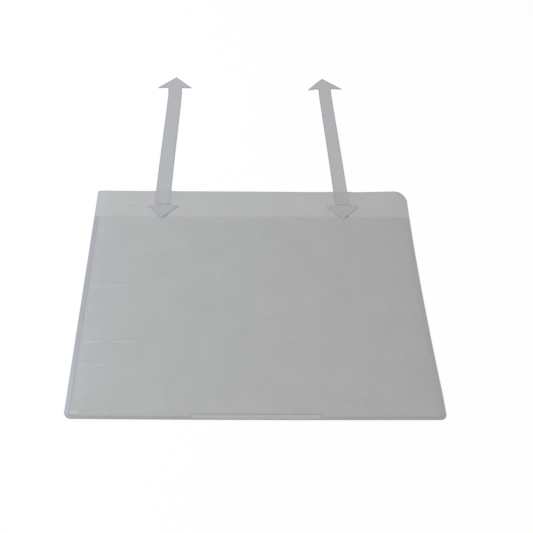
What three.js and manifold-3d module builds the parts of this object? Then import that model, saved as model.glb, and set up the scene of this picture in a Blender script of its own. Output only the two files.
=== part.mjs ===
// A soft vinyl pocket for one A4 sheet held crosswise, with a header strip above its
// mouth and two arrow-headed hanging straps. It lies flat on its back: +X runs to the
// right, +Y up the sleeve towards the straps, +Z out of its front. The origin is the
// centre of the sleeve's back, on the surface it lies on. Lengths are in millimetres.
import * as THREE from "three";
import { mergeVertices } from "three/addons/utils/BufferGeometryUtils.js";
import Module from "manifold-3d";

// The document, and the room that the pocket leaves round it.
const PAPER_WIDTH = 297;
const PAPER_HEIGHT = 210;
const PAPER_SIDE_EASE = 2.5;
const PAPER_TOP_EASE = 0.5;
const PAPER_SPACE = 0.4;

// The two films and the weld that joins them on three sides, with the groove that the
// welding bar presses into the front film along the weld's inner edge.
const FILM_THICKNESS = 0.4;
const SIDE_WELD = 4;
const BOTTOM_WELD = 2.3;
const WELD_LAND_WIDTH = 103;
const WELD_LAND_DEPTH = 5;
const WELD_INNER_RADIUS = 3;
const GROOVE_WIDTH = 0.8;
const GROOVE_DEPTH = 0.12;

// The cut corners of the sleeve.
const TOP_LEFT_RADIUS = 1.5;
const TOP_RIGHT_RADIUS = 13;
const BOTTOM_LEFT_RADIUS = 6;
const BOTTOM_RIGHT_RADIUS = 5;

// The header strip and its two slots.
const MOUTH_TO_SLOT = 15.7;
const SLOT_TO_TOP = 18.8;
const SLOT_OFFSET = 88.6;
const SLOT_SIDE_CLEARANCE = 1.5;
const SLOT_FACE_CLEARANCE = 0.6;
const MOUTH_TO_RAMP = 1;
const RAMP_TO_SLOT = 3;

// The straps.
const STRAP_LENGTH = 213;
const STRAP_WIDTH = 15;
const STRAP_THICKNESS = 0.6;
const HEAD_WIDTH = 37;
const HEAD_LENGTH = 17;
const STRAP_CLIMB = THREE.MathUtils.degToRad(33);
const LEFT_STRAP_TURN = THREE.MathUtils.degToRad(-1.15);
const RIGHT_STRAP_TURN = THREE.MathUtils.degToRad(1.85);

// How far a cutting shape runs past what it cuts, and the steps of a full arc.
const CUT_MARGIN = 5;
const ARC_STEPS = 12;

// The sleeve's plan, worked out from the document outwards.
const SLEEVE_WIDTH = PAPER_WIDTH + 2 * (PAPER_SIDE_EASE + SIDE_WELD);
const POCKET_HEIGHT = WELD_LAND_DEPTH + PAPER_HEIGHT + PAPER_TOP_EASE;
const SLEEVE_HEIGHT = POCKET_HEIGHT + MOUTH_TO_SLOT + SLOT_TO_TOP;
const RIGHT = SLEEVE_WIDTH / 2;
const LEFT = -RIGHT;
const TOP = SLEEVE_HEIGHT / 2;
const BOTTOM = -TOP;
const MOUTH = BOTTOM + POCKET_HEIGHT;
const SLOT = MOUTH + MOUTH_TO_SLOT;

// Heights above the surface. The header lies on the straps that pass behind it, and
// the lower arrowheads lie on the pocket's front film.
const HEADER_BACK = STRAP_THICKNESS;
const HEADER_FACE = HEADER_BACK + FILM_THICKNESS;
const FRONT_BACK = FILM_THICKNESS + PAPER_SPACE;
const FRONT_FACE = FRONT_BACK + FILM_THICKNESS;
const HEAD_BACK = Math.max(FRONT_FACE, HEADER_FACE);

// A slot takes the slanted strap with a clearance on each face.
const SLOT_HALF_HEIGHT = FILM_THICKNESS / 2 / Math.tan(STRAP_CLIMB)
  + STRAP_THICKNESS / 2 / Math.sin(STRAP_CLIMB) + SLOT_FACE_CLEARANCE;
const SLOT_HALF_WIDTH = STRAP_WIDTH / 2 + SLOT_SIDE_CLEARANCE;

const wasm = await Module();
wasm.setup();

// A closed solid, ready for joining and cutting.
function toSolid(geometry) {
  geometry.deleteAttribute("normal");
  geometry.deleteAttribute("uv");
  const merged = mergeVertices(geometry);
  return new wasm.Manifold(new wasm.Mesh({
    numProp: 3,
    vertProperties: merged.attributes.position.array,
    triVerts: new Uint32Array(merged.index.array),
  }));
}

function toGeometry(solid) {
  const { vertProperties, triVerts } = solid.getMesh();
  const geometry = new THREE.BufferGeometry();
  geometry.setAttribute("position", new THREE.BufferAttribute(vertProperties, 3));
  geometry.setIndex(new THREE.BufferAttribute(triVerts, 1));
  geometry.computeVertexNormals();
  return geometry;
}

// A level plate with the given outline, between two heights.
function plate(outline, back, face) {
  const geometry = new THREE.ExtrudeGeometry(outline, {
    depth: face - back,
    bevelEnabled: false,
    curveSegments: ARC_STEPS,
  });
  geometry.translate(0, 0, back);
  return toSolid(geometry);
}

// A bar along X, centred on X = 0, whose section is a list of [y, z] points.
function barAlongX(section, width) {
  const points = section.map(([y, z]) => new THREE.Vector2(y, z));
  const geometry = new THREE.ExtrudeGeometry(new THREE.Shape(points), {
    depth: width,
    bevelEnabled: false,
  });
  geometry.applyMatrix4(new THREE.Matrix4().makeBasis(
    new THREE.Vector3(0, 1, 0),
    new THREE.Vector3(0, 0, 1),
    new THREE.Vector3(1, 0, 0),
  ));
  geometry.translate(-width / 2, 0, 0);
  return toSolid(geometry);
}

// A rectangle whose four corners have their own radii.
function roundedRectangle(left, bottom, right, top, radii) {
  const { bottomLeft, bottomRight, topRight, topLeft } = radii;
  const quarter = Math.PI / 2;
  const shape = new THREE.Shape();
  shape.moveTo(left + bottomLeft, bottom);
  shape.lineTo(right - bottomRight, bottom);
  shape.absarc(right - bottomRight, bottom + bottomRight, bottomRight, -quarter, 0);
  shape.lineTo(right, top - topRight);
  shape.absarc(right - topRight, top - topRight, topRight, 0, quarter);
  shape.lineTo(left + topLeft, top);
  shape.absarc(left + topLeft, top - topLeft, topLeft, quarter, 2 * quarter);
  shape.lineTo(left, bottom + bottomLeft);
  shape.absarc(left + bottomLeft, bottom + bottomLeft, bottomLeft, 2 * quarter, 3 * quarter);
  return shape;
}

// The slot that one strap is pushed through, with round ends.
function slotOutline(centreX) {
  const quarter = Math.PI / 2;
  const reach = SLOT_HALF_WIDTH - SLOT_HALF_HEIGHT;
  const shape = new THREE.Shape();
  shape.moveTo(centreX - reach, SLOT - SLOT_HALF_HEIGHT);
  shape.lineTo(centreX + reach, SLOT - SLOT_HALF_HEIGHT);
  shape.absarc(centreX + reach, SLOT, SLOT_HALF_HEIGHT, -quarter, quarter);
  shape.lineTo(centreX - reach, SLOT + SLOT_HALF_HEIGHT);
  shape.absarc(centreX - reach, SLOT, SLOT_HALF_HEIGHT, quarter, 3 * quarter);
  return shape;
}

// The back film: flat under the pocket, then up a low ramp to the slotted header.
function backSheet() {
  const rampStart = MOUTH + MOUTH_TO_RAMP;
  const rampEnd = SLOT - SLOT_HALF_HEIGHT - RAMP_TO_SLOT;
  const film = barAlongX([
    [BOTTOM - CUT_MARGIN, 0],
    [rampStart, 0],
    [rampEnd, HEADER_BACK],
    [TOP + CUT_MARGIN, HEADER_BACK],
    [TOP + CUT_MARGIN, HEADER_FACE],
    [rampEnd, HEADER_FACE],
    [rampStart, FILM_THICKNESS],
    [BOTTOM - CUT_MARGIN, FILM_THICKNESS],
  ], SLEEVE_WIDTH + 2 * CUT_MARGIN);
  const outline = roundedRectangle(LEFT, BOTTOM, RIGHT, TOP, {
    bottomLeft: BOTTOM_LEFT_RADIUS,
    bottomRight: BOTTOM_RIGHT_RADIUS,
    topRight: TOP_RIGHT_RADIUS,
    topLeft: TOP_LEFT_RADIUS,
  });
  const cutFilm = film.intersect(plate(outline, -CUT_MARGIN, HEADER_FACE + CUT_MARGIN));
  return [-SLOT_OFFSET, SLOT_OFFSET].reduce(
    (sheet, x) => sheet.subtract(plate(slotOutline(x), -CUT_MARGIN, HEADER_FACE + CUT_MARGIN)),
    cutFilm,
  );
}

// The plan of the pocket: the sleeve below the mouth.
function pocketOutline() {
  return roundedRectangle(LEFT, BOTTOM, RIGHT, MOUTH, {
    bottomLeft: BOTTOM_LEFT_RADIUS,
    bottomRight: BOTTOM_RIGHT_RADIUS,
    topRight: 0,
    topLeft: 0,
  });
}

// The plan inside the weld, widened outwards by the given amount. It runs out past
// the mouth, and steps in at the wider land in the middle of the bottom weld.
function insideWeld(outwards) {
  const left = LEFT + SIDE_WELD - outwards;
  const right = RIGHT - SIDE_WELD + outwards;
  const low = BOTTOM + BOTTOM_WELD - outwards;
  const landTop = BOTTOM + WELD_LAND_DEPTH - outwards;
  const landHalf = WELD_LAND_WIDTH / 2 - outwards * Math.tan(Math.PI / 8);
  const landFoot = landHalf + landTop - low;
  const radius = WELD_INNER_RADIUS + outwards;
  const quarter = Math.PI / 2;
  const shape = new THREE.Shape();
  shape.moveTo(left + radius, low);
  shape.lineTo(-landFoot, low);
  shape.lineTo(-landHalf, landTop);
  shape.lineTo(landHalf, landTop);
  shape.lineTo(landFoot, low);
  shape.lineTo(right - radius, low);
  shape.absarc(right - radius, low + radius, radius, -quarter, 0);
  shape.lineTo(right, MOUTH + CUT_MARGIN);
  shape.lineTo(left, MOUTH + CUT_MARGIN);
  shape.lineTo(left, low + radius);
  shape.absarc(left + radius, low + radius, radius, 2 * quarter, 3 * quarter);
  return shape;
}

// The weld on three sides, which holds the films apart by the space for the paper.
function weldSeam() {
  const band = plate(pocketOutline(), FILM_THICKNESS, FRONT_BACK);
  return band.subtract(plate(insideWeld(0), 0, FRONT_FACE));
}

// The front film, flat from weld to weld, so that the document slides in at the mouth.
function frontSheet() {
  const film = plate(pocketOutline(), FRONT_BACK, FRONT_FACE);
  const grooveFloor = FRONT_FACE - GROOVE_DEPTH;
  const above = FRONT_FACE + CUT_MARGIN;
  const groove = plate(insideWeld(GROOVE_WIDTH / 2), grooveFloor, above)
    .subtract(plate(insideWeld(-GROOVE_WIDTH / 2), grooveFloor - CUT_MARGIN, above + CUT_MARGIN));
  return film.subtract(groove);
}

// A strap: flat behind the header, up through its slot, and flat again at the lower
// arrowhead. Here Y = 0 is the middle of the slot and X = 0 the strap's centre line.
function strap() {
  const headerMiddle = (HEADER_BACK + HEADER_FACE) / 2;
  const halfThickness = STRAP_THICKNESS / 2;
  const mitre = halfThickness * Math.tan(STRAP_CLIMB / 2);
  const climbStart = (headerMiddle - halfThickness) / Math.tan(STRAP_CLIMB);
  const climbEnd = (headerMiddle - HEAD_BACK - halfThickness) / Math.tan(STRAP_CLIMB);
  const lowerBase = climbEnd - mitre;
  const lowerTip = lowerBase - HEAD_LENGTH;
  const upperTip = lowerTip + STRAP_LENGTH;
  const upperBase = upperTip - HEAD_LENGTH;
  const ribbon = barAlongX([
    [lowerTip - CUT_MARGIN, HEAD_BACK],
    [climbEnd - mitre, HEAD_BACK],
    [climbStart - mitre, 0],
    [upperTip + CUT_MARGIN, 0],
    [upperTip + CUT_MARGIN, STRAP_THICKNESS],
    [climbStart + mitre, STRAP_THICKNESS],
    [climbEnd + mitre, HEAD_BACK + STRAP_THICKNESS],
    [lowerTip - CUT_MARGIN, HEAD_BACK + STRAP_THICKNESS],
  ], HEAD_WIDTH + 2 * CUT_MARGIN);
  const halfWidth = STRAP_WIDTH / 2;
  const headHalf = HEAD_WIDTH / 2;
  const outline = new THREE.Shape([
    [0, lowerTip],
    [headHalf, lowerBase],
    [halfWidth, lowerBase],
    [halfWidth, upperBase],
    [headHalf, upperBase],
    [0, upperTip],
    [-headHalf, upperBase],
    [-halfWidth, upperBase],
    [-halfWidth, lowerBase],
    [-headHalf, lowerBase],
  ].map(([x, y]) => new THREE.Vector2(x, y)));
  const above = HEAD_BACK + STRAP_THICKNESS + CUT_MARGIN;
  return ribbon.intersect(plate(outline, -CUT_MARGIN, above));
}

// Smooth soft vinyl, in the grey that it takes over a white surface.
function vinyl(color, roughness) {
  return new THREE.MeshStandardMaterial({ color, roughness, metalness: 0 });
}

function addPiece(parent, name, solid, material) {
  const mesh = new THREE.Mesh(toGeometry(solid), material);
  mesh.name = name;
  parent.add(mesh);
  return mesh;
}

// A strap stands in its slot and leans a little about it.
function addStrap(parent, name, x, turn) {
  const mesh = addPiece(parent, name, strap(), vinyl(0xb1b3b6, 0.35));
  mesh.position.set(x, SLOT, 0);
  mesh.rotation.z = turn;
}

const group = new THREE.Group();
addPiece(group, "back_sheet", backSheet(), vinyl(0xb7b8b8, 0.4));
addPiece(group, "weld_seam", weldSeam(), vinyl(0xb1b5bd, 0.3));
addPiece(group, "front_sheet", frontSheet(), vinyl(0xafafaf, 0.4));
addStrap(group, "left_strap", -SLOT_OFFSET, LEFT_STRAP_TURN);
addStrap(group, "right_strap", SLOT_OFFSET, RIGHT_STRAP_TURN);

export default group;
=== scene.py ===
"""A clear vinyl document pocket with two arrow-headed hanging straps, laid flat on its back.

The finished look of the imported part: the cut films, their welded rim and the straps are
modelled over the CAD frame, in metres, with +Y up the sleeve and +Z out of its front.
"""

import math

import bpy
from mathutils import Matrix, Vector, noise


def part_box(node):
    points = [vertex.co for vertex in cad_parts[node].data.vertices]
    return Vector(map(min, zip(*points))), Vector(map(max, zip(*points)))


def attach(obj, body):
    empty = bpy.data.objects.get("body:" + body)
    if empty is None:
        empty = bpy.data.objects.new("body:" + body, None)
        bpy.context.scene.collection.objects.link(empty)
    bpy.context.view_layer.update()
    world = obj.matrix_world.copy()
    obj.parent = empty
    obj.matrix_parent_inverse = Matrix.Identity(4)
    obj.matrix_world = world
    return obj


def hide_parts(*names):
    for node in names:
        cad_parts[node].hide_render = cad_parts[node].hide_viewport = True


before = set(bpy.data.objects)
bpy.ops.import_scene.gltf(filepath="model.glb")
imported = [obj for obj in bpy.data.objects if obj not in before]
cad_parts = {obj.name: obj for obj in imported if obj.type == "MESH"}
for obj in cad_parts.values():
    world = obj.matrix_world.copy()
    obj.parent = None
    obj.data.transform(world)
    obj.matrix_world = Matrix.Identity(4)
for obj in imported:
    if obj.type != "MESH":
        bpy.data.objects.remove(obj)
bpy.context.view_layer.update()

bl_info = {
    "name": "Hanging document sleeve",
    "version": (1, 0, 0),
    "blender": (4, 5, 0),
    "location": "View3D > Sidebar > Sleeve",
    "description": "Models a clear vinyl document pocket with its hanging straps",
    "category": "Add Mesh",
}

MM = 0.001

# The plan of the sleeve and its heights, read from the frame.
SLEEVE_LOW, SLEEVE_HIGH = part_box("back_sheet")
FRONT_LOW, FRONT_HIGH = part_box("front_sheet")
STRAP_BOXES = {"left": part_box("left_strap"), "right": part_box("right_strap")}
LEFT = SLEEVE_LOW[0]
RIGHT = SLEEVE_HIGH[0]
BOTTOM = SLEEVE_LOW[1]
TOP = SLEEVE_HIGH[1]
MOUTH = FRONT_HIGH[1]
FILM = FRONT_HIGH[2] - FRONT_LOW[2]

# The photograph's camera. Its picture is 533 pixels square.
PICTURE = 533
FOCAL_PIXELS = 752.26
CENTRE_SHIFT_PIXELS = (11.5, 0.5)
CAMERA_PLACE = Vector((-15.9, -394.15, 557.42)) * MM
CAMERA_ELEVATION = math.radians(52.74)
CAMERA_AZIMUTH = math.radians(-2.264)
CAMERA_ROLL = math.radians(1.982)
SENSOR = 36

# Films that lie on each other are AIR apart, and the front film's face starts two films
# and that gap up. Places nearer than NEAR count as one.
AIR = 0.05 * MM
NEAR = 0.01 * MM
FRONT_FACE = 2 * FILM + AIR

# The material slots. Every piece has its face in the first and its cut edge or rim in the
# second, and the others are for what the name says.
FACE = 0
RIM = 1
# Third slot of the back film: painted shade over the straps' edges.
PAINTED_EDGE_SHADE = 2
# Weld slots: the pressed land, and painted shade on the bottom edge.
LAND, SHADED_BOTTOM_EDGE = 2, 3
# Third and fourth slots of the front film: painted highlights on the pucker tops and on the
# fold.
PAINTED_PUCKER_HIGHLIGHT, PAINTED_FOLD_HIGHLIGHT = 2, 3
# Strap slots: the lower head's rim with paler painted shade, and its walls with painted
# light.
LAID_EDGE, PAINTED_LIGHT_WALL = 2, 3

# How the soft sleeve has settled: its right edge bows in, its header is pulled down a
# little, and its foot lies askew along a curve across X, in mm.
RIGHT_BOW = 2.1 * MM
BOW_MIDDLE = 27 * MM
BOW_REACH_UP = 112 * MM
BOW_REACH_DOWN = 132 * MM
BOW_START = 30 * MM
HEADER_DROP = 0.7 * MM
FOOT_CURVE = (-0.42, -0.0052, 0.0000216)
FOOT_HEIGHT = 60 * MM

# How the header lies: lifted by the straps from the slots up, slack beside them, curled
# up towards its right end with a drooping corner, and rolled a little at its left end.
SLOT_STEP = 0.8 * MM
STEP_BESIDE = 4 * MM
STEP_FADE = 5 * MM
LIFT_BESIDE = 2 * MM
LIFT_FADE = 6 * MM
SLACK = 0.25 * MM
SLACK_PATCH = 70 * MM
CURL = 1.9 * MM
CURL_START = RIGHT - 55 * MM
CURL_WIDTH = 60 * MM
DROOP = 0.9
DROOP_START = RIGHT - 9 * MM
DROOP_WIDTH = 8 * MM
ROLL = 0.5 * MM
ROLL_MIDDLE = LEFT + 8 * MM
ROLL_WIDTH = 5 * MM
ROLL_RAMP = 10 * MM

# How the front film lies: over the paper space, in slow waves that are flatter near the
# mouth, with a groove pressed along the weld.
PAPER_RISE = 0.3 * MM
PAPER_RAMP = 9 * MM
WAVE_PATCH = 95 * MM
WAVE_RAMP = 22 * MM
MOUTH_FLATTENING = 0.65
MOUTH_REACH = 25 * MM
GROOVE_DEPTH = 0.18 * MM

# The puckers that start at the left weld: where each starts, its reach, its width and its
# slope. Then the short fold in the lower left corner.
PUCKERS = (
    (Vector((LEFT, 5.5 * MM)), 44 * MM, 2.2 * MM, 0.03),
    (Vector((LEFT, -53 * MM)), 56 * MM, 2.2 * MM, 0.0),
    (Vector((LEFT, -73 * MM)), 33 * MM, 2.0 * MM, -0.12),
)
PUCKER_START = 14 * MM
# Patch size of the noise that varies the width of the painted highlight along each pucker's
# top.
PUCKER_HIGHLIGHT_PATCH = 11 * MM
FOLD_MIDDLE = Vector((LEFT + 8.5 * MM, BOTTOM + 5.5 * MM))
FOLD_RISE = 0.6 * MM
FOLD_LENGTH = 6 * MM
FOLD_WIDTH = 1.4 * MM
# The patch on the fold where a highlight is painted: its length and width.
FOLD_HIGHLIGHT_LENGTH = 10 * MM
FOLD_HIGHLIGHT_WIDTH = 3.2 * MM

# The weld's face falls away to the outside, and more so at the lower left.
WELD_RISE = 0.15 * MM
WELD_SLOPE = 0.3 * MM
WELD_SLOPE_LEFT = 0.2 * MM
STEEPER_LEFT_OF = -120 * MM
STEEPER_BELOW = -20 * MM
STEEPER_RAMPS = (20 * MM, 80 * MM)
WELD_INNER_RADIUS = 3 * MM

# How the straps lie, in mm but for the widths: the sideways bend of each at heights above
# its slot, its width as seen, and how far the left and right wings of its heads and its
# upper tip are pulled.
STRAP_BENDS = {
    "left": ((-18, -0.8), (-2, -0.7), (22, -1.5), (165, -0.7), (178, -1.5), (195, -1.2)),
    "right": ((-18, -1.0), (-2, 0.3), (22, 0.1), (165, -0.2), (178, 0.1), (195, -1.0)),
}
STRAP_WIDTHS = {"left": 1.0, "right": 0.925}
UPPER_WINGS = {"left": ((-0.8, -1.2), (0.3, -0.2)), "right": ((-0.6, -1.7), (1.3, -1.2))}
LOWER_WINGS = {"left": (3.2, -3.2), "right": (0.3, -2.0)}
TIP_REACH = {"left": 0.7, "right": 0.5}

# A strap is pinched where it goes through its slot, and its lower head is pressed thinner
# where it lies on the header. The free part lies in a long shallow wave.
SLOT_ZONE = 2 * MM
PINCH = 0.035
PINCH_LENGTH = 2.5 * MM
PRESSED = 0.35
PRESSED_RAMP = 4 * MM
MOUTH_RAMP = 5 * MM
STRAP_WAVE = 0.25 * MM
STRAP_WAVE_LENGTH = 160 * MM
STRAP_WAVE_RAMP = 30 * MM
# Half width of the bands of painted shade on the header film over a strap's edges.
EDGE_SHADE_REACH = 0.5 * MM


def linear(hex_colour):
    """The linear colour of an sRGB hex value."""
    values = [int(hex_colour[i:i + 2], 16) / 255 for i in (1, 3, 5)]
    return [v / 12.92 if v <= 0.04045 else ((v + 0.055) / 1.055) ** 2.4 for v in values]


def length(name, description, default):
    """A size in metres, shown in the scene's unit."""
    return bpy.props.FloatProperty(
        name=name, description=description, default=default, unit="LENGTH", precision=5
    )


def angle(name, description, degrees):
    """An angle given in degrees and kept in radians."""
    return bpy.props.FloatProperty(
        name=name, description=description, default=math.radians(degrees), subtype="ANGLE"
    )


def colour(name, description, hex_colour):
    """A colour given as an sRGB hex value and kept linear."""
    return bpy.props.FloatVectorProperty(
        name=name,
        description=description,
        default=linear(hex_colour),
        size=3,
        min=0,
        max=1,
        subtype="COLOR",
    )


class SleeveSizes(bpy.types.PropertyGroup):
    """Sizes of the films, the weld and the straps."""

    side_weld: length("Side weld", "Width of the weld along both sides", 4 * MM)
    bottom_weld: length("Bottom weld", "Width of the weld along the bottom", 2.3 * MM)
    land_width: length("Land width", "Length of the wider weld in the middle", 103 * MM)
    land_depth: length("Land depth", "Width of the weld at that land", 5 * MM)
    top_left: length("Top left radius", "Radius of the top left corner", 1.5 * MM)
    top_right: length("Top right radius", "Radius of the top right corner", 13 * MM)
    bottom_left: length("Bottom left radius", "Radius of the bottom left corner", 6 * MM)
    bottom_right: length("Bottom right radius", "Radius of the bottom right corner", 5 * MM)
    slot_width: length("Slot width", "Length of each slot across the header", 14.6 * MM)
    slot_height: length("Slot height", "Opening of each slot up the header", 1.4 * MM)
    slot_offset: length("Slot offset", "Slot's distance from the middle", 88.6 * MM)
    slot_to_top: length("Slot to top", "Slot's distance below the top edge", 18.8 * MM)
    strap_width: length("Strap width", "Width of a strap between its heads", 15 * MM)
    strap_thickness: length("Strap thickness", "Thickness of a strap", 0.6 * MM)
    head_width: length("Head width", "Width of an arrowhead", 37 * MM)
    head_length: length("Head length", "Length of an arrowhead", 17 * MM)
    strap_length: length("Strap length", "Length of a strap from tip to tip", 213 * MM)
    left_lean: angle("Left lean", "Turn of the left strap about its slot", -1.15)
    right_lean: angle("Right lean", "Turn of the right strap about its slot", 1.85)
    rim: length("Rim", "Width of the darker rim along a cut edge", 0.7 * MM)
    cell: length("Cell", "Spacing of the lines that let a film bend", 4 * MM)
    wave: length("Wave", "Height of the front film's slow waves", 0.35 * MM)
    pucker: length("Pucker", "Height of the puckers beside the left weld", 0.9 * MM)


class SleeveColours(bpy.types.PropertyGroup):
    """Colours of the films, the weld, the straps and the stage."""

    film: colour("Film", "Grey tint of the clear film", "#bab9b5")
    weld: colour("Weld", "Fused film of the weld", "#a6a5a4")
    land: colour("Pressed land", "Wider pressed weld at the bottom", "#afaeac")
    line: colour("Weld line", "Groove along the inside of the weld", "#a6a5a5")
    strap: colour("Strap", "Tint of the strap", "#b8b8b6")
    # Painted shade on the header film over a strap's edges.
    shade_over_strap_edge: colour("Imprint", "Film pressed over a strap's edge", "#adacb0")
    # Painted highlight along the tops of the puckers.
    pucker_highlight: colour("Crease", "Film whitened where it is creased", "#c1c1bf")
    # Painted highlight on the short fold in the lower left corner.
    fold: colour("Fold", "Film whitened by the short fold in its corner", "#c7c7c1")
    # A strap's rim: its cut edge's tint with painted shade in it.
    strap_edge: colour("Strap edge", "Light held in a strap's cut edge", "#95959f")
    # The rim of a strap's lower head: its cut edge's tint with paler painted shade.
    laid_edge: colour("Laid edge", "A strap's cut edge where it lies on the film", "#a3a3ac")
    # Painted light on the shaded side walls of a strap's lower head.
    wall_painted_light: colour("Laid wall", "The side of a strap that lies on the film", "#d0d0d6")
    # Painted shade on the weld's bottom edge, which faces away from the light.
    weld_edge: colour("Weld edge", "Light held in the bottom edge of the weld", "#9b9b9c")
    # Cut edge: the edge's own deeper tint with painted shade in it.
    edge: colour("Cut edge", "Light held in a cut edge", "#a8a8ad")
    floor: colour("Floor", "Pale floor", "#f8f8f8")


def deselect_all():
    """Leaves no object selected."""
    bpy.ops.object.select_all(action="DESELECT")


def rectangle(name, left, right, bottom, top, height):
    """A new flat rectangle, in object mode."""
    deselect_all()
    centre = ((left + right) / 2, (bottom + top) / 2, height)
    bpy.ops.mesh.primitive_plane_add(size=1, location=centre)
    piece = bpy.context.object
    piece.name = name
    piece.data.name = name
    piece.scale = (right - left, top - bottom, 1)
    bpy.ops.object.transform_apply(location=True, rotation=True, scale=True)
    return piece


def select_points(piece, test):
    """Goes to edit mode with the points selected whose place passes the test."""
    bpy.ops.object.mode_set(mode="EDIT")
    bpy.ops.mesh.select_mode(type="VERT")
    bpy.ops.mesh.select_all(action="DESELECT")
    bpy.ops.object.mode_set(mode="OBJECT")
    for point in piece.data.vertices:
        point.select = test(point.co)
    bpy.ops.object.mode_set(mode="EDIT")


def select_faces(piece, test):
    """Goes to edit mode with the faces selected whose centre and normal pass the test."""
    bpy.ops.object.mode_set(mode="EDIT")
    bpy.ops.mesh.select_mode(type="FACE")
    bpy.ops.mesh.select_all(action="DESELECT")
    bpy.ops.object.mode_set(mode="OBJECT")
    for face in piece.data.polygons:
        face.select = test(face.center, face.normal)
    bpy.ops.object.mode_set(mode="EDIT")


def round_corner(piece, x, y, radius, steps=10):
    """Rounds one corner of a flat outline."""
    select_points(piece, lambda p: abs(p.x - x) < NEAR and abs(p.y - y) < NEAR)
    bpy.ops.mesh.bevel(
        offset_type="ABSOLUTE", offset=radius, segments=steps, affect="VERTICES"
    )
    bpy.ops.object.mode_set(mode="OBJECT")


def thicken(piece, thickness):
    """Turns a flat outline into a closed plate."""
    bpy.ops.object.mode_set(mode="EDIT")
    bpy.ops.mesh.select_mode(type="FACE")
    bpy.ops.mesh.select_all(action="SELECT")
    bpy.ops.mesh.extrude_region_move(TRANSFORM_OT_translate={"value": (0, 0, thickness)})
    bpy.ops.mesh.select_all(action="SELECT")
    bpy.ops.mesh.normals_make_consistent(inside=False)
    bpy.ops.object.mode_set(mode="OBJECT")


def cut_away(piece, cutter):
    """Cuts one solid out of another and throws the cutter away."""
    modifier = piece.modifiers.new("cut", "BOOLEAN")
    modifier.operation = "DIFFERENCE"
    modifier.object = cutter
    bpy.context.view_layer.objects.active = piece
    bpy.ops.object.modifier_apply(modifier=modifier.name)
    bpy.data.objects.remove(cutter)


def cut_lines(piece, axis, places):
    """Cuts the piece's faces along lines across the given axis, so that it can bend."""
    deselect_all()
    piece.select_set(True)
    bpy.context.view_layer.objects.active = piece
    bpy.ops.object.mode_set(mode="EDIT")
    for place in places:
        bpy.ops.mesh.select_all(action="SELECT")
        bpy.ops.mesh.bisect(plane_co=axis * place, plane_no=axis, threshold=NEAR)
    bpy.ops.object.mode_set(mode="OBJECT")


def even_places(start, end, spacing):
    """Places between two ends, evenly spaced, without the ends themselves."""
    count = max(2, round((end - start) / spacing))
    return [start + (end - start) * i / count for i in range(1, count)]


def mark_rim(piece, height, rim, side_material=RIM):
    """Gives a narrow rim of the top face, and as a rule the sides, the second material."""
    for face in piece.data.polygons:
        face.material_index = side_material if abs(face.normal.z) < 0.5 else FACE
    select_faces(piece, lambda c, n: n.z > 0.5 and abs(c.z - height) < NEAR)
    piece.active_material_index = RIM
    bpy.ops.object.material_slot_assign()
    bpy.ops.mesh.inset(thickness=rim, depth=0, use_even_offset=True)
    piece.active_material_index = FACE
    bpy.ops.object.material_slot_assign()
    bpy.ops.object.mode_set(mode="OBJECT")


def move_points(piece, place):
    """Moves each point of a piece to the place that a function gives for it."""
    for point in piece.data.vertices:
        point.co = place(point.co.copy())


def finish_piece(piece, slot, *nodes):
    """Smooths a piece and hands it to the frame in place of its CAD nodes."""
    deselect_all()
    piece.select_set(True)
    bpy.context.view_layer.objects.active = piece
    bpy.ops.object.shade_smooth_by_angle(angle=math.radians(40))
    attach(piece, "root")
    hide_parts(*nodes)


def ease(value):
    """A smooth step from 0 to 1."""
    t = min(1, max(0, value))
    return t * t * (3 - 2 * t)


def hill(distance, width):
    """A smooth rise that is 1 at no distance and falls away over the width."""
    return math.exp(-((distance / width) ** 2))


def slot_line():
    """The height on the sleeve of the two slots."""
    return TOP - bpy.context.scene.sleeve_sizes.slot_to_top


def strap_axis(side, y):
    """Where a strap's straight centre line crosses the given height on the sleeve."""
    sizes = bpy.context.scene.sleeve_sizes
    if side == "left":
        return -sizes.slot_offset - (y - slot_line()) * math.tan(sizes.left_lean)
    return sizes.slot_offset - (y - slot_line()) * math.tan(sizes.right_lean)


def bend_across(side, along):
    """How far a soft strap wanders sideways at a height above its slot."""
    knots = STRAP_BENDS[side]
    height = along / MM
    for (low, start), (high, end) in zip(knots, knots[1:]):
        if height <= high:
            return (start + (end - start) * ease((height - low) / (high - low))) * MM
    return knots[-1][1] * MM


def strap_centre(side, y):
    """The middle of the soft strap itself, which wanders beside its straight line."""
    return strap_axis(side, y) + bend_across(side, y - slot_line())


def weld_distance(x, y):
    """How far inside the weld's inner edge a place on the pocket is."""
    sizes = bpy.context.scene.sleeve_sizes
    land = ease((sizes.land_width / 2 + sizes.land_depth - abs(x)) / sizes.land_depth)
    bottom = sizes.bottom_weld + (sizes.land_depth - sizes.bottom_weld) * land
    return min(x - LEFT - sizes.side_weld, RIGHT - sizes.side_weld - x, y - BOTTOM - bottom)


def settled(point):
    """Where a point of the flat film lies once the soft sleeve has settled."""
    x, y, z = point
    reach = BOW_REACH_UP if y > BOW_MIDDLE else BOW_REACH_DOWN
    bow = RIGHT_BOW * max(0, 1 - ((y - BOW_MIDDLE) / reach) ** 2)
    x_shift = -bow * ease((x - BOW_START) / (RIGHT - BOW_START))
    header_shift = -HEADER_DROP * ease((y - MOUTH) / (TOP - MOUTH))
    across = x / MM
    level, slope, bend = FOOT_CURVE
    foot = (level + slope * across + bend * across ** 2) * MM
    foot_shift = foot * ease((BOTTOM + FOOT_HEIGHT - y) / FOOT_HEIGHT)
    return Vector((x + x_shift, y + header_shift + foot_shift, z))


def before_settling(place):
    """Where a feature is cut in the flat film, so that it settles at the given place."""
    return 2 * place - settled(place)


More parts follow.
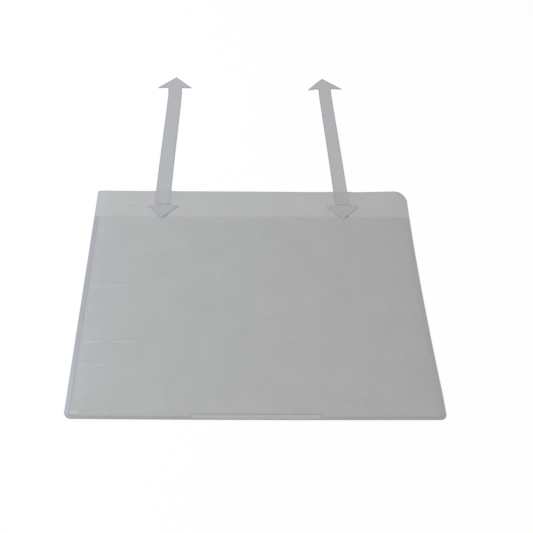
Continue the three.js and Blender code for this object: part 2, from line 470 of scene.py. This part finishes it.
def header_lift(x, y):
    """How high the header is held off the surface by the straps that pass behind it. At a
    slot its upper lip lies over the strap and its lower lip under it."""
    sizes = bpy.context.scene.sleeve_sizes
    beside = min(abs(x - strap_centre(side, y)) for side in ("left", "right"))
    beside -= sizes.strap_width / 2
    lift = 1 - ease((beside - LIFT_BESIDE) / LIFT_FADE)
    end = SLOT_STEP + STEP_BESIDE * ease(beside / STEP_FADE)
    climb = ease((y - slot_line() + SLOT_STEP) / (SLOT_STEP + end))
    slack = SLACK * (1 + noise.noise(Vector((x, y, 0)) / SLACK_PATCH))
    over_strap = sizes.strap_thickness + 2 * AIR
    curl = CURL * ease((x - CURL_START) / CURL_WIDTH) * ease((y - MOUTH) / (TOP - MOUTH))
    curl *= 1 - DROOP * ease((x - DROOP_START) / DROOP_WIDTH)
    roll = ROLL * hill(x - ROLL_MIDDLE, ROLL_WIDTH) * ease((y - MOUTH) / ROLL_RAMP)
    return climb * max(lift * over_strap, slack) + roll + curl


def back_film_place(point):
    """Lays the back film: flat under the pocket, lifted at the header."""
    lies = settled(point)
    if point.y > MOUTH:
        lies.z += header_lift(lies.x, lies.y)
    return lies


def front_film_place(point):
    """Lays the front film over the paper space, with its waves, puckers and fold."""
    sizes = bpy.context.scene.sleeve_sizes
    inside = weld_distance(point.x, point.y)
    paper_space = PAPER_RISE * ease(inside / PAPER_RAMP)
    wave = noise.noise(Vector((point.x, point.y * 1.4, 3)) / WAVE_PATCH)
    rise = paper_space + sizes.wave * (0.5 + wave) * ease(inside / WAVE_RAMP)
    for root, reach, width, slope in PUCKERS:
        along = max(0, point.x - root.x - sizes.side_weld)
        fade = ease(along / PUCKER_START) * hill(along, reach)
        rise += sizes.pucker * fade * hill(point.y - root.y - slope * along, width)
    across_fold = hill(point.y - FOLD_MIDDLE.y, FOLD_WIDTH)
    rise += FOLD_RISE * across_fold * hill(point.x - FOLD_MIDDLE.x, FOLD_LENGTH)
    rise *= 1 - MOUTH_FLATTENING * ease((point.y - MOUTH + MOUTH_REACH) / MOUTH_REACH)
    is_face = point.z > FRONT_LOW[2] + FILM / 2
    if is_face and inside < 5 * NEAR and point.y < MOUTH - 5 * NEAR:
        rise -= GROOVE_DEPTH
    return settled(Vector((point.x, point.y, point.z + rise)))


def is_on_fold_highlight(x, y):
    """Whether a place on the front film lies on the patch of the short fold in its lower
    left corner where a highlight is painted.
    """
    x_away = abs(x - FOLD_MIDDLE.x)
    y_away = abs(y - FOLD_MIDDLE.y)
    return x_away < FOLD_HIGHLIGHT_LENGTH / 2 and y_away < FOLD_HIGHLIGHT_WIDTH / 2


def is_on_pucker_highlight(x, y):
    """Whether a place on the front film lies on the top of a pucker, where a highlight is
    painted.
    """
    side_weld = bpy.context.scene.sleeve_sizes.side_weld
    for root, reach, width, slope in PUCKERS:
        along = x - root.x
        middle = root.y + slope * max(0, along - side_weld)
        thinned = 0.5 + 0.7 * noise.noise(Vector((x, root.y, 0)) / PUCKER_HIGHLIGHT_PATCH)
        if PUCKER_START < along < reach * 0.9 and abs(y - middle) < 0.5 * width * thinned:
            return True
    return False


def weld_place(point):
    """Slopes the weld's face down to its outer edge."""
    if point.z < FILM * 1.5:
        return settled(point)
    inside = -weld_distance(point.x, point.y)
    outwards = ease(inside / bpy.context.scene.sleeve_sizes.side_weld)
    x_ramp, y_ramp = STEEPER_RAMPS
    steeper = ease((STEEPER_LEFT_OF - point.x) / x_ramp)
    steeper *= ease((STEEPER_BELOW - point.y) / y_ramp)
    drop = (WELD_SLOPE + WELD_SLOPE_LEFT * steeper) * outwards
    return settled(Vector((point.x, point.y, point.z - drop)))


def pocket_plate(name, back, face):
    """A plate with the outline of the pocket, square at the mouth."""
    sizes = bpy.context.scene.sleeve_sizes
    plate = rectangle(name, LEFT, RIGHT, BOTTOM, MOUTH, back)
    round_corner(plate, LEFT, BOTTOM, sizes.bottom_left)
    round_corner(plate, RIGHT, BOTTOM, sizes.bottom_right)
    thicken(plate, face - back)
    return plate


def inside_weld_plate(name, top, back, face):
    """A plate that fills the plan inside the weld, stepped in at the bottom land."""
    sizes = bpy.context.scene.sleeve_sizes
    left = LEFT + sizes.side_weld
    right = RIGHT - sizes.side_weld
    low = BOTTOM + sizes.bottom_weld
    step = sizes.land_depth - sizes.bottom_weld
    land = sizes.land_width / 2
    plate = rectangle(name, left, right, low, top, back)
    cut_lines(plate, Vector((1, 0, 0)), (-land - step, -land, land, land + step))
    select_points(plate, lambda p: abs(p.x) < land + NEAR and p.y < low + NEAR)
    bpy.ops.transform.translate(value=(0, step, 0))
    bpy.ops.object.mode_set(mode="OBJECT")
    round_corner(plate, left, low, WELD_INNER_RADIUS, 6)
    round_corner(plate, right, low, WELD_INNER_RADIUS, 6)
    thicken(plate, face - back)
    return plate


def slot_cutter(side):
    """A solid with round ends that cuts one slot."""
    sizes = bpy.context.scene.sleeve_sizes
    middle = before_settling(Vector((strap_centre(side, slot_line()), slot_line(), 0)))
    half_width = sizes.slot_width * STRAP_WIDTHS[side] / 2
    half_height = sizes.slot_height / 2
    left, right = middle.x - half_width, middle.x + half_width
    bottom, top = middle.y - half_height, middle.y + half_height
    cutter = rectangle("slot_cutter", left, right, bottom, top, -FILM)
    for x in (left, right):
        for y in (bottom, top):
            round_corner(cutter, x, y, half_height * 0.98, 5)
    thicken(cutter, 4 * FILM)
    return cutter


def bending_lines(piece, left, right, bottom, top, spacing):
    """Cuts a piece's faces along a grid, so that it can bend both ways."""
    cut_lines(piece, Vector((1, 0, 0)), even_places(left, right, spacing))
    cut_lines(piece, Vector((0, 1, 0)), even_places(bottom, top, spacing))


def add_node(tree, kind, settings=None, links=None):
    """Adds a node, sets its values and sockets, and links other sockets into it."""
    node = tree.nodes.new(kind)
    for name, value in (settings or {}).items():
        if isinstance(name, int) or name in node.inputs:
            node.inputs[name].default_value = value
        else:
            setattr(node, name, value)
    for name, source in (links or {}).items():
        tree.links.new(source, node.inputs[name])
    return node


def new_material(name):
    """A new material with an empty node tree, and that tree."""
    material = bpy.data.materials.new(name)
    material.use_nodes = True
    material.node_tree.nodes.clear()
    return material, material.node_tree


def grain(tree, size, detail=2, stretch=(1, 1, 1)):
    """Noise in the object's own coordinates, its patches as large as the given size."""
    place = add_node(tree, "ShaderNodeTexCoord")
    mapping = add_node(
        tree, "ShaderNodeMapping", {"Scale": stretch}, {"Vector": place.outputs["Object"]}
    )
    return add_node(
        tree,
        "ShaderNodeTexNoise",
        {"Scale": 1 / size, "Detail": detail},
        {"Vector": mapping.outputs["Vector"]},
    ).outputs["Fac"]


def tinted(tree, base, amount, source):
    """A colour that wanders a little lighter and darker with a noise."""
    darker = [*(c * (1 - amount) for c in base), 1]
    lighter = [*(c * (1 + amount) for c in base), 1]
    return add_node(
        tree,
        "ShaderNodeMix",
        {"data_type": "RGBA", 6: darker, 7: lighter},
        {0: source},
    ).outputs[2]


def vinyl_surface(tree, base_colour, roughness, bump, values):
    """Closes a vinyl material: soft plasticised PVC, with the IOR of that plastic."""
    settings = {"IOR": 1.53, "Metallic": 0}
    settings.update(values)
    shader = add_node(
        tree,
        "ShaderNodeBsdfPrincipled",
        settings,
        {"Base Color": base_colour, "Roughness": roughness, "Normal": bump},
    )
    add_node(tree, "ShaderNodeOutputMaterial", links={"Surface": shader.outputs["BSDF"]})


def roughness_range(tree, source, low, high):
    """A roughness that wanders between two values with a noise."""
    return add_node(
        tree, "ShaderNodeMapRange", {"To Min": low, "To Max": high}, {"Value": source}
    ).outputs["Result"]


def bumps(tree, source, height):
    """A surface normal that follows a noise of the given height."""
    return add_node(
        tree, "ShaderNodeBump", {"Strength": 1.0, "Distance": height}, {"Height": source}
    ).outputs["Normal"]


def calendered_film(name, base):
    """Soft PVC rolled between hot cylinders: clear with a grey haze that is cloudier in
    places, darkened a little towards the right by painted shade, a satin gloss, and the
    fine orange peel of the rolls."""
    # Painted shade: the film's colour darkens along X towards its right.
    painted_shade_per_metre = -1.1
    material, tree = new_material(name)
    cloud = grain(tree, 34 * MM, 2)
    mottle = grain(tree, 4 * MM, 3)
    mixed = add_node(
        tree, "ShaderNodeMix", {"data_type": "FLOAT", 0: 0.5}, {2: cloud, 3: mottle}
    ).outputs[0]
    place = add_node(tree, "ShaderNodeTexCoord")
    parts = add_node(tree, "ShaderNodeSeparateXYZ", links={0: place.outputs["Object"]})
    # Random cloud and mottle of the haze, plus the painted shade towards the right.
    haze_and_painted_shade = add_node(
        tree,
        "ShaderNodeMath",
        {"operation": "MULTIPLY_ADD", 1: painted_shade_per_metre},
        {0: parts.outputs["X"], 2: mixed},
    ).outputs[0]
    peel = grain(tree, 1.6 * MM, 2)
    vinyl_surface(
        tree,
        tinted(tree, base, 0.11, haze_and_painted_shade),
        roughness_range(tree, grain(tree, 9 * MM, 4), 0.38, 0.5),
        bumps(tree, peel, 0.012 * MM),
        {"Alpha": 0.78},
    )
    return material


def fused_weld(name, base):
    """Film melted together under a heated bar: smoother and glossier than the sheet, with
    the bar's fine crosswise ripple. The ripple is 0.5 mm on the real weld and is drawn at
    1.5 mm so that it shows."""
    material, tree = new_material(name)
    ripple = grain(tree, 1.5 * MM, 1)
    vinyl_surface(
        tree,
        tinted(tree, base, 0.05, grain(tree, 12 * MM, 2)),
        roughness_range(tree, grain(tree, 6 * MM, 2), 0.24, 0.36),
        bumps(tree, ripple, 0.03 * MM),
        {"Alpha": 0.97},
    )
    return material


def weld_groove(name, base):
    """The sharp line that the welding bar's edge leaves, where the film is thinned."""
    material, tree = new_material(name)
    vinyl_surface(
        tree,
        tinted(tree, base, 0.06, grain(tree, 5 * MM, 2)),
        roughness_range(tree, grain(tree, 4 * MM, 2), 0.3, 0.42),
        bumps(tree, grain(tree, 1.2 * MM, 1), 0.02 * MM),
        {"Alpha": 0.97},
    )
    return material


def die_cut_edge(name, base):
    """A knife-cut edge of clear vinyl. Its colour is the edge's own deeper, bluer tint,
    where light trapped in the sheet leaves, with painted shade added; on the lower walls
    of a strap it is painted light instead."""
    material, tree = new_material(name)
    vinyl_surface(
        tree,
        tinted(tree, base, 0.08, grain(tree, 4 * MM, 2)),
        roughness_range(tree, grain(tree, 2 * MM, 2), 0.35, 0.5),
        bumps(tree, grain(tree, 0.8 * MM, 1), 0.02 * MM),
        {"Alpha": 0.98},
    )
    return material


def extruded_strap(name, base):
    """Thicker extruded vinyl: a deeper tint than the film, and faint lines along the strap
    from the die, 0.9 mm apart."""
    material, tree = new_material(name)
    lines = grain(tree, 0.9 * MM, 2, stretch=(1, 0.02, 1))
    vinyl_surface(
        tree,
        tinted(tree, base, 0.05, lines),
        roughness_range(tree, grain(tree, 7 * MM, 3), 0.34, 0.46),
        bumps(tree, lines, 0.012 * MM),
        {"Alpha": 0.77},
    )
    return material


def pale_floor(name, base):
    """A matt pale floor. To the camera, and in reflections, it is close to white, and it
    still takes the object's shadow."""
    white_share = 0.9
    material, tree = new_material(name)
    rays = add_node(tree, "ShaderNodeLightPath")
    seen = add_node(
        tree,
        "ShaderNodeMath",
        {"operation": "MAXIMUM"},
        {0: rays.outputs["Is Camera Ray"], 1: rays.outputs["Is Glossy Ray"]},
    )
    seen_all = add_node(
        tree,
        "ShaderNodeMath",
        {"operation": "MAXIMUM"},
        {0: seen.outputs[0], 1: rays.outputs["Is Transmission Ray"]},
    )
    share = add_node(
        tree,
        "ShaderNodeMath",
        {"operation": "MULTIPLY", 1: white_share},
        {0: seen_all.outputs[0]},
    )
    matt = add_node(tree, "ShaderNodeBsdfDiffuse", {"Color": [*base, 1]})
    white = add_node(tree, "ShaderNodeEmission", {"Color": [1, 1, 1, 1], "Strength": 1.0})
    mixed = add_node(
        tree,
        "ShaderNodeMixShader",
        links={0: share.outputs[0], 1: matt.outputs[0], 2: white.outputs[0]},
    )
    add_node(tree, "ShaderNodeOutputMaterial", links={"Surface": mixed.outputs[0]})
    return material


def give_materials(piece, *materials):
    """Fills a piece's material slots in order."""
    for material in materials:
        piece.data.materials.append(material)


def paint_shade_over_strap_edges(film, side):
    """Paints shade on the header film in narrow bands over the two edges of a strap."""
    sizes = bpy.context.scene.sleeve_sizes
    above = slot_line() + sizes.slot_height / 2
    root = before_settling(Vector((strap_centre(side, above), above, 0)))
    head = before_settling(Vector((strap_centre(side, TOP), TOP, 0)))
    across = Vector((head.y - root.y, root.x - head.x, 0)).normalized()
    half = sizes.strap_width * STRAP_WIDTHS[side] / 2
    near_strap = sizes.strap_width / 2 + 3 * sizes.cell
    for edge in (-half, half):
        for line in (edge - EDGE_SHADE_REACH, edge + EDGE_SHADE_REACH):
            select_faces(
                film,
                lambda c, n: c.y > above - sizes.cell and abs(c.x - root.x) < near_strap,
            )
            bpy.ops.mesh.bisect(
                plane_co=root + across * line, plane_no=across, threshold=NEAR
            )
    bpy.ops.object.mode_set(mode="OBJECT")
    for face in film.data.polygons:
        beside = abs(abs((face.center - root).dot(across)) - half)
        if beside < EDGE_SHADE_REACH and face.center.y > root.y and face.normal.z > 0.5:
            face.material_index = PAINTED_EDGE_SHADE


class SLEEVE_OT_back_film(bpy.types.Operator):
    """Models the back film with the slotted header"""

    bl_idname = "sleeve.back_film"
    bl_label = "Back film"

    def execute(self, context):
        sizes = context.scene.sleeve_sizes
        colours = context.scene.sleeve_colours
        film = rectangle("back_film", LEFT, RIGHT, BOTTOM, TOP, 0)
        round_corner(film, LEFT, TOP, sizes.top_left, 4)
        round_corner(film, RIGHT, TOP, sizes.top_right, 16)
        round_corner(film, LEFT, BOTTOM, sizes.bottom_left)
        round_corner(film, RIGHT, BOTTOM, sizes.bottom_right)
        thicken(film, FILM)
        for side in ("left", "right"):
            cut_away(film, slot_cutter(side))
        # The third material is painted shade over the straps' edges.
        give_materials(
            film,
            calendered_film("calendered_film_back", colours.film),
            die_cut_edge("die_cut_film_edge", colours.edge),
            calendered_film("film_painted_shade_over_strap_edge", colours.shade_over_strap_edge),
        )
        mark_rim(film, FILM, sizes.rim)
        bending_lines(film, LEFT, RIGHT, BOTTOM, TOP, sizes.cell)
        slots = before_settling(Vector((0, slot_line(), 0))).y
        cut_lines(film, Vector((0, 1, 0)), (slots - SLOT_STEP, slots + SLOT_STEP))
        for side in ("left", "right"):
            paint_shade_over_strap_edges(film, side)
        move_points(film, back_film_place)
        finish_piece(film, "back_film", "back_sheet")
        return {"FINISHED"}


class SLEEVE_OT_weld(bpy.types.Operator):
    """Models the fused weld on three sides of the pocket"""

    bl_idname = "sleeve.weld"
    bl_label = "Weld"

    def execute(self, context):
        sizes = context.scene.sleeve_sizes
        colours = context.scene.sleeve_colours
        face = 2 * FILM + WELD_RISE
        weld = pocket_plate("weld_band", FILM, face)
        beyond = MOUTH + sizes.land_depth
        cut_away(weld, inside_weld_plate("weld_cutter", beyond, 0, 3 * face))
        # The fourth material is painted shade on the bottom edge.
        give_materials(
            weld,
            fused_weld("fused_weld", colours.weld),
            die_cut_edge("die_cut_weld_edge", colours.edge),
            fused_weld("pressed_land", colours.land),
            die_cut_edge("bottom_edge_painted_shade", colours.weld_edge),
        )
        mark_rim(weld, face, sizes.rim * 1.3)
        bending_lines(weld, LEFT, RIGHT, BOTTOM, MOUTH, 2 * sizes.cell)
        land_end = sizes.land_width / 2
        cut_lines(weld, Vector((1, 0, 0)), (-land_end, land_end))
        for part in weld.data.polygons:
            x, y, z = part.center
            low = BOTTOM + sizes.rim < y < BOTTOM + sizes.land_depth - sizes.rim
            if low and abs(x) < land_end and part.normal.z > 0.5:
                part.material_index = LAND
            # The bottom edge gets a darker colour: painted shade where it faces away from
            # the light.
            at_bottom = y < BOTTOM + sizes.land_depth + 1 * MM
            if at_bottom and part.material_index == RIM:
                part.material_index = SHADED_BOTTOM_EDGE
        move_points(weld, weld_place)
        finish_piece(weld, "weld_film", "weld_seam")
        return {"FINISHED"}


class SLEEVE_OT_front_film(bpy.types.Operator):
    """Models the front film inside the weld"""

    bl_idname = "sleeve.front_film"
    bl_label = "Front film"

    def execute(self, context):
        sizes = context.scene.sleeve_sizes
        colours = context.scene.sleeve_colours
        film = inside_weld_plate("front_film", MOUTH, FRONT_FACE - FILM, FRONT_FACE)
        # The third and fourth materials are painted highlights on the pucker tops and on the
        # fold.
        give_materials(
            film,
            calendered_film("calendered_film_front", colours.film),
            weld_groove("weld_groove", colours.line),
            calendered_film("painted_pucker_highlight", colours.pucker_highlight),
            calendered_film("painted_fold_highlight", colours.fold),
        )
        mark_rim(film, FRONT_FACE, sizes.rim)
        for part in film.data.polygons:
            if part.center.y > MOUTH - sizes.rim:
                part.material_index = FACE
        left = LEFT + sizes.side_weld
        right = RIGHT - sizes.side_weld
        bending_lines(film, left, right, BOTTOM + sizes.bottom_weld, MOUTH, sizes.cell)
        for root, reach, width, slope in (*PUCKERS, (FOLD_MIDDLE, 0, FOLD_WIDTH, 0)):
            near = 2.4 * width + abs(slope) * reach
            lines = even_places(root.y - near, root.y + near, width / 3)
            cut_lines(film, Vector((0, 1, 0)), lines)
        # Painted highlights: on the fold's patch and along the pucker tops.
        for part in film.data.polygons:
            on_face = part.normal.z > 0.5 and part.material_index == FACE
            if on_face and is_on_fold_highlight(part.center.x, part.center.y):
                part.material_index = PAINTED_FOLD_HIGHLIGHT
            elif on_face and is_on_pucker_highlight(part.center.x, part.center.y):
                part.material_index = PAINTED_PUCKER_HIGHLIGHT
        move_points(film, front_film_place)
        finish_piece(film, "front_film", "front_sheet")
        return {"FINISHED"}


def strap_outline(name, lower_tip, upper_tip):
    """A flat strap with an arrowhead at each end, along Y."""
    sizes = bpy.context.scene.sleeve_sizes
    half_head = sizes.head_width / 2
    half_strap = sizes.strap_width / 2
    lower_base = lower_tip + sizes.head_length
    upper_base = upper_tip - sizes.head_length
    strap = rectangle(name, -half_head, half_head, lower_tip, upper_tip, 0)
    cut_lines(strap, Vector((0, 1, 0)), (lower_base, upper_base))
    for side in (-half_strap, half_strap):
        select_faces(strap, lambda c, n: lower_base < c.y < upper_base)
        bpy.ops.mesh.bisect(plane_co=(side, 0, 0), plane_no=(1, 0, 0), threshold=NEAR)
    select_faces(strap, lambda c, n: lower_base < c.y < upper_base and abs(c.x) > half_strap)
    bpy.ops.mesh.delete(type="FACE")
    for tip in (lower_tip, upper_tip):
        select_points(strap, lambda p: abs(p.y - tip) < NEAR)
        bpy.ops.mesh.merge(type="CENTER")
    bpy.ops.object.mode_set(mode="OBJECT")
    return strap


def strap_point(side, point, upper_base):
    """Bends a flat strap's point sideways, pulls the wings of its heads, pinches it at its
    slot and thins its lower head."""
    sizes = bpy.context.scene.sleeve_sizes
    half_strap = sizes.strap_width / 2
    half_head = sizes.head_width / 2
    x, y, z = point
    if -SLOT_ZONE < y < upper_base - 0.1 * MM:
        x *= STRAP_WIDTHS[side]
    wing = max(0, abs(x) - half_strap) / (half_head - half_strap)
    if abs(x) < half_strap * 1.02:
        x *= 1 - PINCH * hill(y, PINCH_LENGTH)
    bend = bend_across(side, y)
    half = 0 if x < 0 else 1
    if y > upper_base - 0.5 * MM:
        x_pull, y_pull = UPPER_WINGS[side][half]
        reach = TIP_REACH[side] * ease((y - upper_base) / sizes.head_length)
        return Vector((x + x_pull * wing * MM + bend, y + (y_pull * wing + reach) * MM, z))
    if y < 0:
        x += LOWER_WINGS[side][half] * MM * abs(x) / half_head
        z *= 1 - PRESSED * ease(-y / PRESSED_RAMP)
    return Vector((x + bend, y, z))


def strap_height(along, lies, mouth_height):
    """The height of a strap's back: on the surface behind the header, up through the
    slot, and down the header's front to the tip that lies over the mouth."""
    wave = STRAP_WAVE * (1 - math.cos(math.tau * max(0, along) / STRAP_WAVE_LENGTH))
    behind = wave * ease(along / STRAP_WAVE_RAMP)
    on_header = FILM + header_lift(lies.x, lies.y)
    at_mouth = ease((MOUTH + MOUTH_RAMP - lies.y) / MOUTH_RAMP)
    in_front = on_header + (mouth_height - on_header) * at_mouth + AIR
    opening = bpy.context.scene.sleeve_sizes.slot_height
    through = ease((opening / 2 - along) / opening)
    return behind + (in_front - behind) * through


class SLEEVE_OT_straps(bpy.types.Operator):
    """Models the two straps, each pushed through its slot"""

    bl_idname = "sleeve.straps"
    bl_label = "Straps"

    def execute(self, context):
        sizes = context.scene.sleeve_sizes
        colours = context.scene.sleeve_colours
        tint = extruded_strap("extruded_strap", colours.strap)
        # The strap's rims carry painted shade, and the lower head's walls carry painted
        # light.
        edge = die_cut_edge("die_cut_strap_edge", colours.strap_edge)
        laid_edge = die_cut_edge("strap_edge_on_film", colours.laid_edge)
        wall_painted_light = die_cut_edge("strap_wall_painted_light", colours.wall_painted_light)
        leans = {"left": sizes.left_lean, "right": sizes.right_lean}
        for side, lean in leans.items():
            turn = Matrix.Rotation(lean, 4, "Z")
            centre = Vector((strap_axis(side, slot_line()), slot_line(), 0))
            lower_tip = STRAP_BOXES[side][0][1] - slot_line()
            upper_tip = lower_tip + sizes.strap_length
            strap = strap_outline(f"{side}_ribbon", lower_tip, upper_tip)
            thicken(strap, sizes.strap_thickness)
            give_materials(strap, tint, edge, laid_edge, wall_painted_light)
            mark_rim(strap, sizes.strap_thickness, sizes.rim, side_material=FACE)
            lines = even_places(-SLOT_ZONE, SLOT_ZONE, 0.3 * MM)
            lines += even_places(lower_tip, -SLOT_ZONE, 1 * MM)
            lines += even_places(SLOT_ZONE, upper_tip, sizes.cell)
            cut_lines(strap, Vector((0, 1, 0)), lines)
            half_strap = sizes.strap_width / 2
            cut_lines(strap, Vector((1, 0, 0)), (-half_strap, half_strap))
            # On the lower head the side walls get painted light, and the rim a paler painted
            # shade.
            for part in strap.data.polygons:
                if part.center.y < 0 and abs(part.normal.z) < 0.5:
                    part.material_index = PAINTED_LIGHT_WALL
                elif part.center.y < 0 and part.material_index == RIM:
                    part.material_index = LAID_EDGE
            upper_base = upper_tip - sizes.head_length
            mouth_edge = Vector((centre.x, MOUTH - 0.1 * MM, FRONT_FACE))
            mouth_height = front_film_place(mouth_edge).z

            def place(point):
                lies = turn @ strap_point(side, point, upper_base) + centre
                lies.z += strap_height(point.y, lies, mouth_height)
                return lies

            move_points(strap, place)
            finish_piece(strap, "strap_film", f"{side}_strap")
        return {"FINISHED"}


class SLEEVE_OT_stage(bpy.types.Operator):
    """Adds the floor, the light and the camera"""

    bl_idname = "sleeve.stage"
    bl_label = "Stage"

    def execute(self, context):
        add_floor(context)
        add_lights(context)
        add_camera(context)
        context.scene.view_settings.view_transform = "Standard"
        return {"FINISHED"}


def add_floor(context):
    """A wide pale floor just under the sleeve."""
    deselect_all()
    bpy.ops.mesh.primitive_plane_add(size=8, location=(0, 0, -0.1 * MM))
    floor = context.object
    floor.name = "floor"
    floor_colour = context.scene.sleeve_colours.floor
    floor.data.materials.append(pale_floor("pale_floor", floor_colour))


def add_area_light(name, place, target, size, power, tint):
    """A round soft light that points at the target."""
    bpy.ops.object.light_add(type="AREA", location=place)
    light = bpy.context.object
    light.name = name
    light.data.shape = "DISK"
    light.data.size = size
    light.data.energy = power
    light.data.color = linear(tint)
    light.rotation_euler = (target - place).to_track_quat("-Z", "Y").to_euler()


def add_lights(context):
    """A pale sky all round, and a broad cool window light from the left."""
    world = bpy.data.worlds.new("pale_room")
    context.scene.world = world
    world.use_nodes = True
    tree = world.node_tree
    tree.nodes.clear()
    rays = add_node(tree, "ShaderNodeLightPath")
    warm = [1, 0.975, 0.945, 1]
    room = add_node(tree, "ShaderNodeBackground", {"Color": warm, "Strength": 0.55})
    white = add_node(tree, "ShaderNodeBackground", {"Color": [1, 1, 1, 1], "Strength": 1.0})
    mixed = add_node(
        tree,
        "ShaderNodeMixShader",
        links={0: rays.outputs["Is Camera Ray"], 1: room.outputs[0], 2: white.outputs[0]},
    )
    add_node(tree, "ShaderNodeOutputWorld", links={"Surface": mixed.outputs[0]})
    middle = Vector((0, 0, 0))
    add_area_light("window", Vector((-1.05, 0.25, 0.9)), middle, 1.1, 14.3, "#d8e7ff")
    add_area_light("ceiling", Vector((0.2, -0.3, 2.2)), middle, 1.6, 9, "#fffaf2")


def add_camera(context):
    """The camera stands in front of and above the sleeve, as the photograph's did."""
    forward = Vector((
        -math.sin(CAMERA_AZIMUTH) * math.cos(CAMERA_ELEVATION),
        math.cos(CAMERA_AZIMUTH) * math.cos(CAMERA_ELEVATION),
        -math.sin(CAMERA_ELEVATION),
    ))
    level_right = forward.cross(Vector((0, 0, 1))).normalized()
    right = Matrix.Rotation(-CAMERA_ROLL, 3, forward) @ level_right
    up = right.cross(forward)
    bpy.ops.object.camera_add(location=CAMERA_PLACE)
    camera = context.object
    axes = Matrix((right, up, -forward)).transposed()
    camera.rotation_euler = axes.to_euler()
    camera.data.sensor_width = SENSOR
    camera.data.lens = SENSOR * FOCAL_PIXELS / PICTURE
    camera.data.shift_x = CENTRE_SHIFT_PIXELS[0] / PICTURE
    camera.data.shift_y = CENTRE_SHIFT_PIXELS[1] / PICTURE
    camera.data.clip_start = 0.01
    camera.data.clip_end = 20
    context.scene.camera = camera


class SLEEVE_PT_panel(bpy.types.Panel):
    """Lists the sleeve's pieces, sizes and colours"""

    bl_idname = "SLEEVE_PT_panel"
    bl_label = "Document sleeve"
    bl_space_type = "VIEW_3D"
    bl_region_type = "UI"
    bl_category = "Sleeve"

    def draw(self, context):
        for operator in OPERATORS:
            self.layout.operator(operator.bl_idname)
        for group in (context.scene.sleeve_sizes, context.scene.sleeve_colours):
            box = self.layout.box()
            for name in group.__annotations__:
                box.prop(group, name)


OPERATORS = (
    SLEEVE_OT_back_film,
    SLEEVE_OT_weld,
    SLEEVE_OT_front_film,
    SLEEVE_OT_straps,
    SLEEVE_OT_stage,
)
CLASSES = (SleeveSizes, SleeveColours, *OPERATORS, SLEEVE_PT_panel)


def register():
    for cls in CLASSES:
        bpy.utils.register_class(cls)
    bpy.types.Scene.sleeve_sizes = bpy.props.PointerProperty(type=SleeveSizes)
    bpy.types.Scene.sleeve_colours = bpy.props.PointerProperty(type=SleeveColours)


def unregister():
    del bpy.types.Scene.sleeve_sizes
    del bpy.types.Scene.sleeve_colours
    for cls in reversed(CLASSES):
        bpy.utils.unregister_class(cls)


def main():
    register()
    bpy.ops.sleeve.back_film()
    bpy.ops.sleeve.weld()
    bpy.ops.sleeve.front_film()
    bpy.ops.sleeve.straps()
    bpy.ops.sleeve.stage()


if __name__ == "__main__":
    main()
